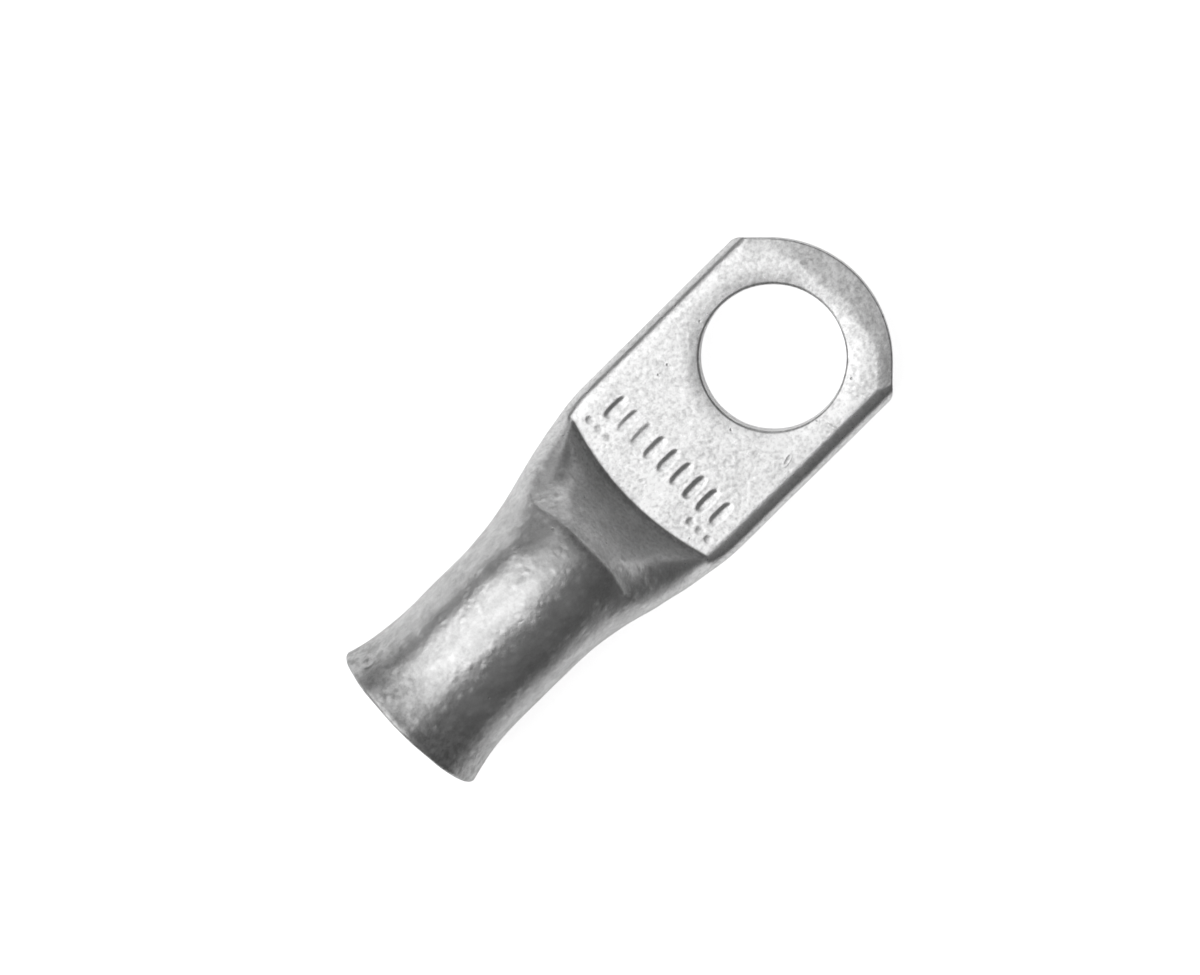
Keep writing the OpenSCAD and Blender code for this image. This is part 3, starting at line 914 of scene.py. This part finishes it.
# %% Softboxes
def softbox(name, place, aim, size, radiance):
    """An area lamp of a given radiance: watts are pi times the radiance times the area."""
    data = bpy.data.lights.new(name, "AREA")
    data.shape = "RECTANGLE"
    data.size, data.size_y = size
    data.energy = math.pi * radiance * size[0] * size[1]
    lamp = bpy.data.objects.new(name, data)
    lamp.location = place
    lamp.rotation_euler = (Vector(aim) - Vector(place)).to_track_quat("-Z", "Y").to_euler()
    bpy.context.collection.objects.link(lamp)
    print(name, round(data.energy, 3), "W")


STRIP_HEIGHT, STRIP_SIDES = 0.45, (-10, 62)  # metres, and degrees from overhead towards +Y
STRIPS = [  # name, degrees from overhead towards the tip's end, radiance
    ("far_end", (-50, -28), 1.40),
    ("overhead", (-28, -5), 1.10),
    ("feather_1", (-5, 8), 0.93),
    ("feather_2", (8, 20), 0.60),
    ("feather_3", (20, 32), 0.26),
    ("feather_4", (32, 45), 0.08),
]
y0, y1 = (STRIP_HEIGHT * math.tan(math.radians(a)) for a in STRIP_SIDES)
for name, ends, radiance in STRIPS:
    x0, x1 = (STRIP_HEIGHT * math.tan(math.radians(a)) for a in ends)
    middle = ((x0 + x1) / 2, (y0 + y1) / 2)
    softbox(name, (*middle, STRIP_HEIGHT), (*middle, 0), (x1 - x0, y1 - y0), radiance)
softbox("far_corner", (0.34, 0.34, 0.20), (-0.011, 0, 0.003), (0.26, 0.18), 0.55)
softbox("low_end", (-0.40, 0.08, 0.13), (-0.029, 0, 0.005), (0.16, 0.10), 2.2)


# %% Floor
FLOOR_HALF = 2.0
DARK_FROM, DARK_TO = -0.010, -0.034  # the Y at which the floor starts to be and is dark in the tin


def backdrop():
    """A pale floor under the lug, white to the camera, glowing a little in the tin, with its
    shadow. In the tin alone it turns dark past a line along the lug."""
    mesh = bpy.data.meshes.new("floor")
    level = cad_box[0][2]
    corners = [(x * FLOOR_HALF, y * FLOOR_HALF, level)
               for x, y in ((-1, -1), (1, -1), (1, 1), (-1, 1))]
    mesh.from_pydata(corners, [], [(0, 1, 2, 3)])
    floor = bpy.data.objects.new("floor", mesh)
    bpy.context.collection.objects.link(floor)
    material = bpy.data.materials.new("floor")
    material.use_nodes = True
    tree = material.node_tree
    shader = tree.nodes["Principled BSDF"]
    shader.inputs["Roughness"].default_value = 1.0
    shader.inputs["Specular IOR Level"].default_value = 0.0
    shader.inputs["Emission Color"].default_value = (1, 1, 1, 1)
    path = put(tree, "ShaderNodeLightPath").outputs
    place = put(tree, "ShaderNodeSeparateXYZ",
                {"Vector": put(tree, "ShaderNodeTexCoord").outputs["Object"]})
    beyond = smooth_step(tree, place.outputs["Y"], DARK_FROM, DARK_TO)
    unlit = calc(tree, "MULTIPLY", path["Is Glossy Ray"], beyond)
    tree.links.new(calc(tree, "MULTIPLY_ADD", unlit, -0.55, 0.9), shader.inputs["Base Color"])
    mirrored = calc(tree, "MULTIPLY_ADD", unlit, -0.8, path["Is Glossy Ray"])
    glow = calc(tree, "MULTIPLY_ADD", path["Is Camera Ray"], 0.75,
                calc(tree, "MULTIPLY", mirrored, 0.25))
    tree.links.new(glow, shader.inputs["Emission Strength"])
    mesh.materials.append(material)


backdrop()
print("floor at", round(cad_box[0][2] / MM, 3), "mm")


# %% Room
HORIZON, ZENITH = 0.04, 0.13


def room():
    """A dim grey world, darkest at the horizon, and white where the camera looks at it."""
    world = bpy.data.worlds.new("studio")
    bpy.context.scene.world = world
    world.use_nodes = True
    tree = world.node_tree
    dim = tree.nodes["Background"]
    way = put(tree, "ShaderNodeSeparateXYZ",
              {"Vector": put(tree, "ShaderNodeTexCoord").outputs["Generated"]})
    tree.links.new(smooth_step(tree, way.outputs["Z"], 0.12, 0.45, HORIZON, ZENITH),
                   dim.inputs["Color"])
    white = put(tree, "ShaderNodeBackground", {"Color": (1, 1, 1, 1)})
    choose = put(tree, "ShaderNodeMixShader",
                 {"Fac": put(tree, "ShaderNodeLightPath").outputs["Is Camera Ray"]})
    tree.links.new(dim.outputs[0], choose.inputs[1])
    tree.links.new(white.outputs[0], choose.inputs[2])
    tree.links.new(choose.outputs[0], tree.nodes["World Output"].inputs["Surface"])


room()
bpy.context.scene.view_settings.view_transform = "Standard"
print("world", bpy.context.scene.world.name)
